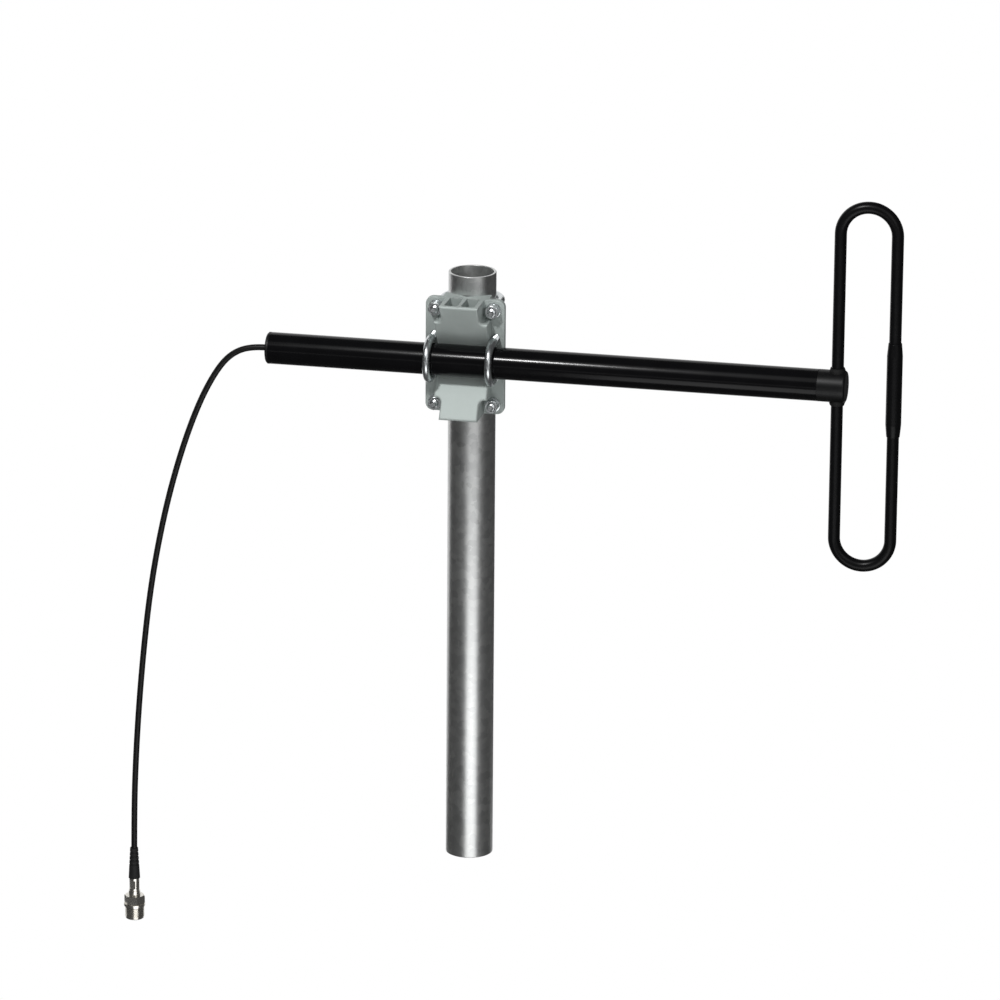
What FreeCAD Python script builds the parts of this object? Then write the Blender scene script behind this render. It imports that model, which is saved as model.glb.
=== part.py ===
import FreeCAD, Part
import math
import os

Vec = FreeCAD.Vector
X_AXIS = Vec(1, 0, 0)
Y_AXIS = Vec(0, 1, 0)
Z_AXIS = Vec(0, 0, 1)

# Folded dipole antenna on a stub of mast, in millimetres.
# The mast stands along Z from the origin, the boom runs along X in front of it (towards -Y),
# and the loop is at the boom's +X end.

# Mast
mast_od = 38.1
mast_wall = 2.0
mast_length = 490.0
mast_edge_break = 0.4

# Boom, measured from the mast's axis and down from the mast's top
boom_od = 25.4
boom_wall = 1.6
boom_rear_reach = 154.5
boom_front_reach = 286.3
boom_below_top = 62.0
boom_edge_break = 0.3

# Folded loop
rod_od = 9.525
loop_height = 301.5
limb_spacing = 44.8
limb_inset = 7.3
feed_gap = 7.0
butt_gap = 0.4
sleeve_length = 76.0
sleeve_wall = 1.4
sleeve_taper = 10.0
sleeve_lip = 0.5

# Clamp saddle
saddle_plate = 5.0
saddle_corner = 6.0
plate_round = 0.8
hole_edge_margin = 7.0
end_margin = 8.0
boom_seat_slope = 30.0
mast_seat_half_angle = 60.0
seat_tip_flat = 2.5
nut_pocket_radius = 4.0
tool_gap = 1.5
tooth_pitch = 6.5
tooth_depth = 1.2
tooth_half_width = 1.6
tooth_root_gap = 5.0
cast_round = 1.6
core_wall = 3.5
core_rib = 3.0
core_floor = 3.0
core_corner = 1.2

# U-bolts and their nuts
u_rod = 6.0
u_hole_clearance = 0.3
mast_u_slack = 0.95
boom_u_slack = 0.3
u_row_gap = 23.0
boom_u_outset = 2.0
seat_to_u_gap = 0.5
u_bow_gap = 0.1
u_end_projection = 4.0
u_end_chamfer = 0.8
nut_flats = 10.0
nut_height = 5.0
nut_chamfer = 0.6
washer_od = 12.0
washer_thickness = 1.6
spring_washer_od = 10.8
spring_washer_thickness = 1.5
spring_slit = 1.0
thread_clearance = 0.1

# Feed end of the boom
plug_clearance = 0.1
fit_clearance = 0.05
head_length = 22.0
head_round = 2.0
head_spigot = 30.0
feed_cavity_depth = 34.0
feed_cavity_wall = 1.3
limb_seal_wall = 1.6
limb_seal_height = 2.4
feed_screw_od = 3.0
feed_screw_head_od = 5.4
feed_screw_head_height = 2.0
feed_screw_depth = 6.0
feed_screw_inset = 3.2
driver_slot_width = 0.8
driver_slot_depth = 0.9
lug_od = 6.0
lug_thickness = 0.8
lug_tail_width = 2.4
lug_tail_length = 5.0

# Feeder cable and balun
coax_od = 4.95
coax_core_od = 2.95
coax_wire_od = 0.95
coax_strip = 6.0
coax_front_gap = 22.0
balun_od = 2.5
balun_half_width = 7.4
balun_drop = 3.9
balun_leg = 96.0
balun_front_gap = 26.0

# Rear gland
gland_spigot = 18.0
gland_flange = 2.5
gland_flange_round = 1.0
gland_nose_od = 9.0
gland_nose_tip_od = 7.6
gland_nose = 2.0

# Cable end connector
boot_length = 26.0
boot_od = 9.4
boot_tip_od = 6.6
boot_groove_count = 4
boot_groove_width = 1.4
boot_groove_depth = 0.45
boot_groove_pitch = 3.4
boot_tip_band = 3.0
ferrule_length = 11.0
ferrule_od = 8.2
crimp_flats = 7.4
crimp_length = 7.0
cable_entry = 3.0
neck_od = 9.4
neck_length = 4.0
hex_flats = 15.0
hex_length = 7.0
hex_chamfer = 0.8
collar_od = 17.4
collar_length = 2.0
thread_od = 15.8
thread_length = 10.8
thread_chamfer = 0.8
socket_od = 11.4
socket_depth = 9.6
insulator_od = 7.0
insulator_length = 5.0
contact_od = 3.0
contact_bore = 1.7
contact_length = 9.0
contact_slit = 0.4

# Free cable: hand-chosen points from the gland's nose, as (along the boom, up)
tail_route = [
    (0.0, 0.0),
    (-12.0, 0.0),
    (-27.5, -6.5),
    (-40.0, -21.0),
    (-55.0, -50.0),
    (-70.5, -93.5),
    (-84.5, -146.0),
    (-96.0, -207.0),
    (-103.5, -272.0),
    (-109.0, -340.0),
    (-112.0, -408.0),
    (-112.0, -474.0),
]
tail_bend_share = 0.45

# Worked-out sizes
boom_height = mast_length - boom_below_top
mast_r = mast_od / 2
mast_bore_r = mast_r - mast_wall
boom_r = boom_od / 2
boom_bore_r = boom_r - boom_wall
rod_r = rod_od / 2
coax_r = coax_od / 2
u_hole_r = u_rod / 2 + u_hole_clearance
nut_bore_r = u_rod / 2 + thread_clearance
nut_corner_r = nut_flats / math.sqrt(3)

seat_tan = math.tan(math.radians(boom_seat_slope))
seat_cos = math.cos(math.radians(boom_seat_slope))
mast_seat_sin = math.sin(math.radians(mast_seat_half_angle))
mast_seat_tan = math.tan(math.radians(mast_seat_half_angle))

saddle_back = -(mast_r + fit_clearance) / mast_seat_sin
saddle_front = saddle_back - saddle_plate
boom_y = saddle_front - (boom_r + fit_clearance) / seat_cos

mast_u_span = mast_od + u_rod + 2 * mast_u_slack
boom_u_span = boom_od + u_rod + 2 * boom_u_slack
boom_u_x = mast_u_span / 2 + boom_u_outset
mast_u_z = boom_u_span / 2 + u_row_gap
seat_half_width = boom_u_x - u_rod / 2 - seat_to_u_gap
nose_half_width = mast_u_span / 2 - washer_od / 2 - tool_gap
nose_start = mast_u_z - washer_od / 2 - tool_gap
saddle_half_width = max(boom_u_x, mast_u_span / 2) + hole_edge_margin
saddle_half_height = mast_u_z + end_margin
ridge_half_width = min(mast_u_span / 2 - u_rod / 2, boom_u_x - nut_corner_r) - seat_to_u_gap

head_front = boom_front_reach + head_length
feed_x = head_front - limb_inset
outer_x = feed_x + limb_spacing
loop_bend_r = limb_spacing / 2
bend_z = loop_height / 2 - rod_r - loop_bend_r
plug_r = boom_bore_r - plug_clearance
feed_rear = boom_front_reach - head_spigot
feed_floor = feed_rear + feed_cavity_depth
cavity_r = plug_r - feed_cavity_wall
feed_screw_z = feed_gap / 2 + feed_screw_inset

gland_tip = -boom_rear_reach - gland_flange - gland_nose

# Connector levels, measured on from the cable's cut end
hex_start = neck_length - cable_entry
collar_start = hex_start + hex_length
thread_start = collar_start + collar_length
mouth = thread_start + thread_length
socket_floor = mouth - socket_depth
bead_start = socket_floor - insulator_length

boom_axis = Vec(0, boom_y, boom_height)


def turned(profile):
    """Solid of revolution about Z from a closed outline of (radius, height) points."""
    points = [Vec(radius, 0, height) for radius, height in profile]
    outline = Part.makePolygon(points + points[:1])
    return Part.Face(outline).revolve(Vec(), Z_AXIS, 360)


def pointed(shape, direction, at):
    """Shape drawn along Z, turned to lie along direction and carried to a point."""
    turn = FreeCAD.Rotation(Z_AXIS, direction)
    return shape.transformed(FreeCAD.Placement(at, turn).toMatrix())


def on_boom(x, across=0.0, up=0.0):
    """Point given by its place along the boom and its offset from the boom's axis."""
    return boom_axis + Vec(x, across, up)


def extruded(points, along):
    """Prism over a closed outline of points."""
    return Part.Face(Part.makePolygon(points + points[:1])).extrude(along)


def ring(outer_r, inner_r, height):
    """Plain washer-like ring standing on the origin along Z."""
    return Part.makeCylinder(outer_r, height).cut(Part.makeCylinder(inner_r, height))


def tube_along(path, start, heading, diameter):
    """Round bar swept along a path of lines and tangent arcs."""
    section = Part.Wire(Part.Circle(start, heading, diameter / 2).toShape())
    return path.makePipeShell([section], True, False)


def mirrored_in_boom(shape):
    """Copy of a shape reflected in the level plane through the boom's axis."""
    return shape.mirror(boom_axis, Z_AXIS)


def hollow_bar(outer_r, inner_r, start, end, edge_break):
    """Tube along Z with its four end edges broken."""
    return turned([
        (inner_r + edge_break, start),
        (outer_r - edge_break, start),
        (outer_r, start + edge_break),
        (outer_r, end - edge_break),
        (outer_r - edge_break, end),
        (inner_r + edge_break, end),
        (inner_r, end - edge_break),
        (inner_r, start + edge_break),
    ])


def mast_tube():
    """Galvanised steel tube, cut square and deburred at both ends."""
    return hollow_bar(mast_r, mast_bore_r, 0, mast_length, mast_edge_break)


def boom_tube():
    """Black tube between the rear gland and the feed head, deburred at both ends."""
    tube = hollow_bar(boom_r, boom_bore_r, -boom_rear_reach, boom_front_reach, boom_edge_break)
    return pointed(tube, X_AXIS, boom_axis)


def boom_seat():
    """V block on the saddle's front, as high as the plate, narrowed beside the mast nuts."""
    reach = saddle_half_height * seat_tan
    back = saddle_front + saddle_plate / 2
    outline = [
        Vec(-seat_half_width, back, -saddle_half_height),
        Vec(-seat_half_width, saddle_front - reach, -saddle_half_height),
        Vec(-seat_half_width, saddle_front, 0),
        Vec(-seat_half_width, saddle_front - reach, saddle_half_height),
        Vec(-seat_half_width, back, saddle_half_height),
    ]
    block = extruded(outline, Vec(2 * seat_half_width, 0, 0))
    for side in (-1, 1):
        for end in (-1, 1):
            block = block.cut(nut_pocket(side, end, reach))
    flanks = [f for f in block.Faces if abs(f.normalAt(0, 0).y + seat_cos) < 1e-6]
    rims = [e for f in flanks for e in f.Edges if abs(e.CenterOfMass.z) > nut_pocket_radius]
    return block.makeFillet(cast_round, rims)


def nut_pocket(side, end, depth):
    """Room for one mast nut and its spanner, with a rounded inner corner."""
    width = saddle_half_width - nose_half_width
    height = saddle_half_height - nose_start
    pocket = Part.makeBox(width, depth, height)
    inner = [e for e in pocket.Edges if abs(e.CenterOfMass.x) + abs(e.CenterOfMass.z) < 1e-6]
    pocket = pocket.makeFillet(nut_pocket_radius, inner)
    pocket.translate(Vec(nose_half_width, saddle_front - depth, nose_start))
    if side < 0:
        pocket = pocket.mirror(Vec(), X_AXIS)
    if end < 0:
        pocket = pocket.mirror(Vec(), Z_AXIS)
    return pocket


def seat_cores(end):
    """Two wedge pockets from one end of the boom's seat, behind its flank, with a rib between them."""
    inner_width = nose_half_width - core_wall - core_rib / 2
    cover = core_wall / seat_cos
    deep = (core_floor + cover) / seat_tan
    mouth = saddle_half_height * seat_tan - cover
    pockets = []
    for side in (-1, 1):
        x = core_rib / 2 if side > 0 else -core_rib / 2 - inner_width
        outline = [
            Vec(x, saddle_front, end * deep),
            Vec(x, saddle_front, end * saddle_half_height),
            Vec(x, saddle_front - mouth, end * saddle_half_height),
            Vec(x, saddle_front - core_floor, end * deep),
        ]
        pocket = extruded(outline, Vec(inner_width, 0, 0))
        at_mouth = saddle_half_height - core_corner
        sides = [e for e in pocket.Edges if abs(e.tangentAt(e.FirstParameter).x) < 0.01]
        inside = [e for e in sides if abs(e.CenterOfMass.z) < at_mouth]
        pockets.append(pocket.makeFillet(core_corner, inside))
    return pockets


def mast_seat():
    """Two upright ridges on the saddle's back whose inner flanks make the mast's V."""
    tip_x = ridge_half_width - seat_tip_flat
    tip_y = saddle_back + tip_x / mast_seat_tan
    root = saddle_back - saddle_plate / 2
    low = -saddle_half_height
    outline = [
        Vec(-ridge_half_width, root, low),
        Vec(-ridge_half_width, tip_y, low),
        Vec(-tip_x, tip_y, low),
        Vec(0, saddle_back, low),
        Vec(tip_x, tip_y, low),
        Vec(ridge_half_width, tip_y, low),
        Vec(ridge_half_width, root, low),
    ]
    seat = extruded(outline, Vec(0, 0, 2 * saddle_half_height))
    return seat.cut(Part.makeCompound(tooth_grooves(tip_x, tip_y)))


def tooth_grooves(tip_x, tip_y):
    """Level V grooves over both flanks, which leave the teeth that bite the mast."""
    rows = int((saddle_half_height - 2 * tooth_half_width) / tooth_pitch)
    grooves = []
    for side in (-1, 1):
        flank = Vec(side * tip_x, tip_y - saddle_back, 0)
        along = Vec(flank).normalize()
        inward = Vec(side * along.y, -abs(along.x), 0)
        start = Vec(0, saddle_back, 0) + along * tooth_root_gap
        for row in range(-rows, rows + 1):
            level = start + Vec(0, 0, row * tooth_pitch)
            outline = [
                level - inward * tooth_depth - Vec(0, 0, 2 * tooth_half_width),
                level + inward * tooth_depth,
                level - inward * tooth_depth + Vec(0, 0, 2 * tooth_half_width),
            ]
            grooves.append(extruded(outline, flank))
    return grooves


def clamp_saddle():
    """One casting: a plate with eight holes, the boom's cored V in front and the mast's V behind."""
    plate = Part.makeBox(
        2 * saddle_half_width, saddle_plate, 2 * saddle_half_height,
        Vec(-saddle_half_width, saddle_front, -saddle_half_height),
    )
    corners = [e for e in plate.Edges if abs(e.tangentAt(e.FirstParameter).y) > 0.99]
    plate = plate.makeFillet(saddle_corner, corners)
    rims = [e for e in plate.Edges if abs(e.tangentAt(e.FirstParameter).y) < 0.01]
    plate = plate.makeFillet(plate_round, rims)
    body = plate.fuse([boom_seat(), mast_seat()]).removeSplitter()
    holes = []
    for side in (-1, 1):
        for end in (-1, 1):
            holes.append(saddle_hole(side * mast_u_span / 2, end * mast_u_z))
            holes.append(saddle_hole(side * boom_u_x, end * boom_u_span / 2))
    cores = seat_cores(-1) + seat_cores(1)
    body = body.cut(Part.makeCompound(holes)).cut(Part.makeCompound(cores))
    body.translate(Vec(0, 0, boom_height))
    return body


def saddle_hole(x, z):
    """Clearance hole through the saddle's plate for one U-bolt leg."""
    return Part.makeCylinder(u_hole_r, saddle_plate, Vec(x, saddle_front, z), Y_AXIS)


def u_bolt(centre, across, legs_to, span, leg):
    """Round rod bent to a half circle about a centre, with two straight legs."""
    radius = span / 2
    one = centre + across * radius
    other = centre - across * radius
    path = Part.Wire([
        Part.LineSegment(one + legs_to * leg, one).toShape(),
        Part.Arc(one, centre - legs_to * radius, other).toShape(),
        Part.LineSegment(other, other + legs_to * leg).toShape(),
    ])
    bolt = tube_along(path, one + legs_to * leg, legs_to, u_rod)
    tip = (centre + legs_to * leg).dot(legs_to)
    ends = [e for e in bolt.Edges if abs(e.CenterOfMass.dot(legs_to) - tip) < 1e-3]
    return bolt.makeChamfer(u_end_chamfer, ends)


def mast_u_bolt(end):
    """U-bolt round the back of the mast, its legs out through the saddle to the front."""
    centre = Vec(0, mast_r + u_bow_gap - (mast_u_span - u_rod) / 2, boom_height + end * mast_u_z)
    leg = centre.y - saddle_front + stack_height() + u_end_projection
    return u_bolt(centre, X_AXIS, -Y_AXIS, mast_u_span, leg)


def boom_u_bolt(side):
    """U-bolt round the front of the boom, its legs back through the saddle."""
    bow = (boom_u_span - u_rod) / 2
    centre = on_boom(side * boom_u_x, bow - boom_r - u_bow_gap)
    leg = saddle_back - centre.y + stack_height() + u_end_projection
    return u_bolt(centre, Z_AXIS, Y_AXIS, boom_u_span, leg)


def stack_height():
    """Washer, spring washer and nut on one leg."""
    return washer_thickness + spring_washer_thickness + nut_height


def hex_prism(flats, height):
    """Hexagonal bar along Z with square ends."""
    corner = flats / math.sqrt(3)
    turn = [math.radians(60 * step) for step in range(6)]
    outline = [Vec(corner * math.cos(t), corner * math.sin(t), 0) for t in turn]
    return extruded(outline, Vec(0, 0, height))


def hex_bar(flats, height, chamfer):
    """Hexagonal bar along Z with the corners of both ends chamfered."""
    corner = flats / math.sqrt(3)
    bar = hex_prism(flats, height)
    inset = flats / 2
    envelope = turned([
        (0, 0),
        (inset, 0),
        (corner, chamfer),
        (corner, height - chamfer),
        (inset, height),
        (0, height),
    ])
    return bar.common(envelope)


def hex_nut():
    """Hexagon nut with a smooth bore."""
    bore = Part.makeCylinder(nut_bore_r, nut_height)
    return hex_bar(nut_flats, nut_height, nut_chamfer).cut(bore)


def flat_washer():
    """Plain washer."""
    return ring(washer_od / 2, u_hole_r, washer_thickness)


def spring_washer():
    """Split spring washer, pressed flat."""
    whole = ring(spring_washer_od / 2, nut_bore_r, spring_washer_thickness)
    slit = Part.makeBox(spring_washer_od, spring_slit, spring_washer_thickness)
    slit.translate(Vec(0, -spring_slit / 2, 0))
    return whole.cut(slit)


def mast_legs():
    """Where the four mast U-bolt legs come out of the saddle's front, and which way."""
    places = []
    for side in (-1, 1):
        for end in (-1, 1):
            x = side * mast_u_span / 2
            places.append((Vec(x, saddle_front, boom_height + end * mast_u_z), -Y_AXIS))
    return places


def boom_legs():
    """Where the four boom U-bolt legs come out of the saddle's back, and which way."""
    places = []
    for side in (-1, 1):
        for end in (-1, 1):
            z = boom_height + end * boom_u_span / 2
            places.append((Vec(side * boom_u_x, saddle_back, z), Y_AXIS))
    return places


def on_legs(piece, places, lift):
    """One copy of a washer or nut on each leg, lifted off the saddle."""
    copies = [pointed(piece, heading, at + heading * lift) for at, heading in places]
    return Part.makeCompound(copies)


def half_loop():
    """Upper rod: from the feed gap up the inner limb, over the bend and down to the butt joint."""
    foot = on_boom(feed_x, 0, feed_gap / 2)
    inner_top = on_boom(feed_x, 0, bend_z)
    crown = on_boom(feed_x + loop_bend_r, 0, bend_z + loop_bend_r)
    outer_top = on_boom(outer_x, 0, bend_z)
    butt = on_boom(outer_x, 0, butt_gap / 2)
    path = Part.Wire([
        Part.LineSegment(foot, inner_top).toShape(),
        Part.Arc(inner_top, crown, outer_top).toShape(),
        Part.LineSegment(outer_top, butt).toShape(),
    ])
    rod = tube_along(path, foot, Z_AXIS, rod_od)
    tapped = Part.makeCylinder(
        feed_screw_od / 2, feed_screw_depth, on_boom(feed_x - rod_od, 0, feed_screw_z), X_AXIS
    )
    tapped.translate(Vec(rod_r, 0, 0))
    return rod.cut(tapped)


def joint_sleeve():
    """Sleeve over the butt joint of the two rods, tapered at both ends."""
    bore_r = rod_r + fit_clearance
    outer_r = bore_r + sleeve_wall
    half = sleeve_length / 2
    body = turned([
        (bore_r, -half),
        (bore_r + sleeve_lip, -half),
        (outer_r, sleeve_taper - half),
        (outer_r, half - sleeve_taper),
        (bore_r + sleeve_lip, half),
        (bore_r, half),
    ])
    return pointed(body, Z_AXIS, on_boom(outer_x))


def feed_head():
    """Moulded end of the boom: holds the rod ends apart in blind holes, hollow behind them."""
    body = turned([
        (0, feed_floor),
        (cavity_r, feed_floor),
        (cavity_r, feed_rear),
        (plug_r, feed_rear),
        (plug_r, boom_front_reach),
        (boom_r, boom_front_reach),
        (boom_r, head_front),
        (0, head_front),
    ])
    rim = [e for e in body.Edges if abs(e.CenterOfMass.z - head_front) < 1e-6]
    rim = [e for e in rim if abs(e.BoundBox.XMax - boom_r) < 1e-6]
    body = pointed(body.makeFillet(head_round, rim), X_AXIS, boom_axis)
    screw_reach = feed_x - feed_floor
    cuts = []
    for end in (-1, 1):
        rod_seat = on_boom(feed_x, 0, end * feed_gap / 2)
        screw = on_boom(feed_floor, 0, end * feed_screw_z)
        cuts.append(Part.makeCylinder(rod_r + fit_clearance, boom_od, rod_seat, Z_AXIS * end))
        cuts.append(Part.makeCylinder(feed_screw_od / 2, screw_reach, screw, X_AXIS))
    return body.cut(Part.makeCompound(cuts))


def limb_seal():
    """Soft ring round the upper rod where it enters the feed head."""
    bore_r = rod_r + fit_clearance
    outer_r = bore_r + limb_seal_wall
    foot = boom_r - limb_seal_height
    collar = turned([
        (bore_r, foot),
        (outer_r, foot),
        (outer_r, boom_r),
        (bore_r + limb_seal_wall / 2, boom_r + limb_seal_height),
        (bore_r, boom_r + limb_seal_height),
    ])
    head = Part.makeCylinder(boom_r, boom_od, Vec(-boom_r, 0, 0), X_AXIS)
    return pointed(collar.cut(head), Z_AXIS, on_boom(feed_x))


def feed_screw():
    """Slotted screw that clamps the upper solder lug to the rod through the plug's web."""
    head_z = feed_floor - lug_thickness
    head = Part.makeCylinder(feed_screw_head_od / 2, feed_screw_head_height)
    slot = Part.makeBox(feed_screw_head_od, driver_slot_width, driver_slot_depth)
    head = head.cut(slot.translate(Vec(-feed_screw_head_od / 2, -driver_slot_width / 2, 0)))
    reach = feed_x - rod_r + feed_screw_depth / 2 - head_z
    shank_r = feed_screw_od / 2 - fit_clearance
    shank = Part.makeCylinder(shank_r, reach, Vec(0, 0, feed_screw_head_height))
    screw = head.fuse(shank).removeSplitter()
    return pointed(screw, X_AXIS, on_boom(head_z - feed_screw_head_height, 0, feed_screw_z))


def solder_lug():
    """Ring tag under the upper screw's head, its tail towards the boom's axis."""
    eye = Part.makeCylinder(lug_od / 2, lug_thickness)
    tail = Part.makeBox(lug_tail_length, lug_tail_width, lug_thickness, Vec(0, -lug_tail_width / 2, 0))
    hole = Part.makeCylinder(feed_screw_od / 2 + fit_clearance, lug_thickness)
    lug = eye.fuse(tail).removeSplitter().cut(hole)
    return pointed(lug, X_AXIS, on_boom(feed_floor - lug_thickness, 0, feed_screw_z))


def boom_coax():
    """Feeder inside the boom, from the gland's nose to its stripped end in the feed cavity."""
    jacket_end = feed_floor - coax_front_gap
    core_end = jacket_end + coax_strip
    wire_end = core_end + coax_strip
    body = turned([
        (0, gland_tip),
        (coax_r, gland_tip),
        (coax_r, jacket_end),
        (coax_core_od / 2, jacket_end),
        (coax_core_od / 2, core_end),
        (coax_wire_od / 2, core_end),
        (coax_wire_od / 2, wire_end),
        (0, wire_end),
    ])
    return pointed(body, X_AXIS, boom_axis)


def balun_hairpin():
    """Half-wave loop of thin coax, folded once, lying under the feeder."""
    front = feed_floor - balun_front_gap / 2
    back = front - balun_leg
    near = on_boom(front, -balun_half_width, -balun_drop)
    near_back = on_boom(back, -balun_half_width, -balun_drop)
    turn = on_boom(back - balun_half_width, 0, -balun_drop)
    far_back = on_boom(back, balun_half_width, -balun_drop)
    far = on_boom(front, balun_half_width, -balun_drop)
    path = Part.Wire([
        Part.LineSegment(near, near_back).toShape(),
        Part.Arc(near_back, turn, far_back).toShape(),
        Part.LineSegment(far_back, far).toShape(),
    ])
    return tube_along(path, near, -X_AXIS, balun_od)


def rear_cable_gland():
    """Moulded plug in the boom's rear end with a short nose round the cable."""
    end = -boom_rear_reach
    face = end - gland_flange
    hole_r = coax_r + fit_clearance
    body = turned([
        (hole_r, gland_tip),
        (gland_nose_tip_od / 2, gland_tip),
        (gland_nose_od / 2, face),
        (boom_r - gland_flange_round, face),
        (boom_r, face + gland_flange_round),
        (boom_r, end),
        (plug_r, end),
        (plug_r, end + gland_spigot),
        (hole_r, end + gland_spigot),
    ])
    return pointed(body, X_AXIS, boom_axis)


def rounded_path(points, share):
    """Straight runs joined by tangent arcs as large as the shorter run at each point allows."""
    edges = []
    radii = []
    start = points[0]
    for before, corner, after in zip(points, points[1:], points[2:]):
        back = before - corner
        ahead = after - corner
        cut = share * min(back.Length, ahead.Length)
        back.normalize()
        ahead.normalize()
        half_turn = (math.pi - back.getAngle(ahead)) / 2
        radius = cut / math.tan(half_turn)
        inward = (back + ahead).normalize()
        middle = corner + inward * (radius / math.cos(half_turn) - radius)
        edges.append(Part.LineSegment(start, corner + back * cut).toShape())
        edges.append(Part.Arc(corner + back * cut, middle, corner + ahead * cut).toShape())
        start = corner + ahead * cut
        radii.append(radius)
    edges.append(Part.LineSegment(start, points[-1]).toShape())
    return Part.Wire(edges), radii


def tail_points():
    """The free cable's route in space."""
    return [on_boom(gland_tip + along, 0, up) for along, up in tail_route]


def coax_tail():
    """Free cable from the gland's nose to the connector."""
    points = tail_points()
    path, radii = rounded_path(points, tail_bend_share)
    print("tail arc radii", [round(radius, 1) for radius in radii])
    tube = tube_along(path, points[0], points[1] - points[0], coax_od)
    section = math.pi * coax_r ** 2
    print("tail length", round(path.Length, 1), "volume share", tube.Volume / (section * path.Length))
    return tube


def hung(shape):
    """Connector piece drawn along Z from the cable's cut end, pointed down and carried there."""
    return pointed(shape, -Z_AXIS, tail_points()[-1])


def connector_boot():
    """Tapered strain relief on the cable behind the ferrule, grooved round so that it bends."""
    low = -cable_entry - ferrule_length
    high = low - boot_length
    hole_r = coax_r + fit_clearance
    slope = (boot_od - boot_tip_od) / 2 / boot_length
    outline = [(hole_r, high), (boot_tip_od / 2, high)]
    for groove in range(boot_groove_count):
        start = boot_tip_band + groove * boot_groove_pitch
        end = start + boot_groove_width
        floor = boot_tip_od / 2 + slope * start - boot_groove_depth
        outline.append((boot_tip_od / 2 + slope * start, high + start))
        outline.append((floor, high + start))
        outline.append((floor, high + end))
        outline.append((boot_tip_od / 2 + slope * end, high + end))
    return hung(turned(outline + [(boot_od / 2, low), (hole_r, low)]))


def connector_ferrule():
    """Sleeve round the cable, up against the connector's body, crimped to a hexagon over its middle."""
    margin = (ferrule_length - crimp_length) / 2
    outer = Part.makeCylinder(ferrule_od / 2, ferrule_length)
    die = hex_prism(crimp_flats, crimp_length).translate(Vec(0, 0, margin))
    pressed = Part.makeCylinder(ferrule_od, crimp_length, Vec(0, 0, margin)).cut(die)
    bore = Part.makeCylinder(coax_r + fit_clearance, ferrule_length)
    sleeve = outer.cut(pressed).cut(bore)
    return hung(sleeve.translate(Vec(0, 0, -cable_entry - ferrule_length)))


def connector_body():
    """Turned body: neck, hexagon, collar and the outer thread's barrel, open at the mating end."""
    neck = turned([
        (0, -cable_entry),
        (neck_od / 2, -cable_entry),
        (neck_od / 2, hex_start),
        (0, hex_start),
    ])
    hexagon = hex_bar(hex_flats, hex_length, hex_chamfer).translate(Vec(0, 0, hex_start))
    barrel = turned([
        (0, collar_start),
        (collar_od / 2, collar_start),
        (collar_od / 2, thread_start),
        (thread_od / 2, thread_start),
        (thread_od / 2, mouth - thread_chamfer),
        (thread_od / 2 - thread_chamfer, mouth),
        (0, mouth),
    ])
    entry = Part.makeCylinder(coax_r + fit_clearance, cable_entry, Vec(0, 0, -cable_entry))
    socket = Part.makeCylinder(socket_od / 2, socket_depth, Vec(0, 0, socket_floor))
    bead_r = insulator_od / 2 + fit_clearance
    bead = Part.makeCylinder(bead_r, insulator_length, Vec(0, 0, bead_start))
    body = neck.fuse([hexagon, barrel]).removeSplitter()
    return hung(body.cut(Part.makeCompound([entry, socket, bead])))


def connector_insulator():
    """Pale bead that carries the centre contact."""
    bead = ring(insulator_od / 2, contact_od / 2 + fit_clearance, insulator_length)
    return hung(bead.translate(Vec(0, 0, bead_start)))


def connector_contact():
    """Slotted socket contact through the bead."""
    pin = Part.makeCylinder(contact_od / 2, contact_length)
    free = contact_length - insulator_length
    bore = Part.makeCylinder(contact_bore / 2, free, Vec(0, 0, insulator_length))
    slit = Part.makeBox(contact_od, contact_slit, free)
    slit.translate(Vec(-contact_od / 2, -contact_slit / 2, insulator_length))
    contact = pin.cut(bore).cut(slit)
    return hung(contact.translate(Vec(0, 0, bead_start)))


spring_lift = washer_thickness
nut_lift = washer_thickness + spring_washer_thickness

nodes = {
    "mast_tube": mast_tube(),
    "clamp_saddle": clamp_saddle(),
    "upper_mast_u_bolt": mast_u_bolt(1),
    "lower_mast_u_bolt": mast_u_bolt(-1),
    "rear_boom_u_bolt": boom_u_bolt(-1),
    "front_boom_u_bolt": boom_u_bolt(1),
    "mast_u_bolt_washers": on_legs(flat_washer(), mast_legs(), 0),
    "mast_u_bolt_spring_washers": on_legs(spring_washer(), mast_legs(), spring_lift),
    "mast_u_bolt_nuts": on_legs(hex_nut(), mast_legs(), nut_lift),
    "boom_u_bolt_washers": on_legs(flat_washer(), boom_legs(), 0),
    "boom_u_bolt_spring_washers": on_legs(spring_washer(), boom_legs(), spring_lift),
    "boom_u_bolt_nuts": on_legs(hex_nut(), boom_legs(), nut_lift),
    "boom_tube": boom_tube(),
    "feed_head": feed_head(),
    "upper_limb_seal": limb_seal(),
    "lower_limb_seal": mirrored_in_boom(limb_seal()),
    "upper_half_loop": half_loop(),
    "lower_half_loop": mirrored_in_boom(half_loop()),
    "joint_sleeve": joint_sleeve(),
    "upper_feed_screw": feed_screw(),
    "lower_feed_screw": mirrored_in_boom(feed_screw()),
    "upper_solder_lug": solder_lug(),
    "lower_solder_lug": mirrored_in_boom(solder_lug()),
    "boom_coax": boom_coax(),
    "balun_hairpin": balun_hairpin(),
    "rear_cable_gland": rear_cable_gland(),
    "coax_tail": coax_tail(),
    "connector_boot": connector_boot(),
    "connector_ferrule": connector_ferrule(),
    "connector_body": connector_body(),
    "connector_insulator": connector_insulator(),
    "connector_contact": connector_contact(),
}

os.makedirs("parts", exist_ok=True)
for name, shape in nodes.items():
    print(name, len(shape.Solids), shape.isValid(), round(shape.Volume, 1))
    shape.exportStep(f"parts/{name}.step")
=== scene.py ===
import math

import bmesh
import bpy
from mathutils import Matrix, Vector


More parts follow.
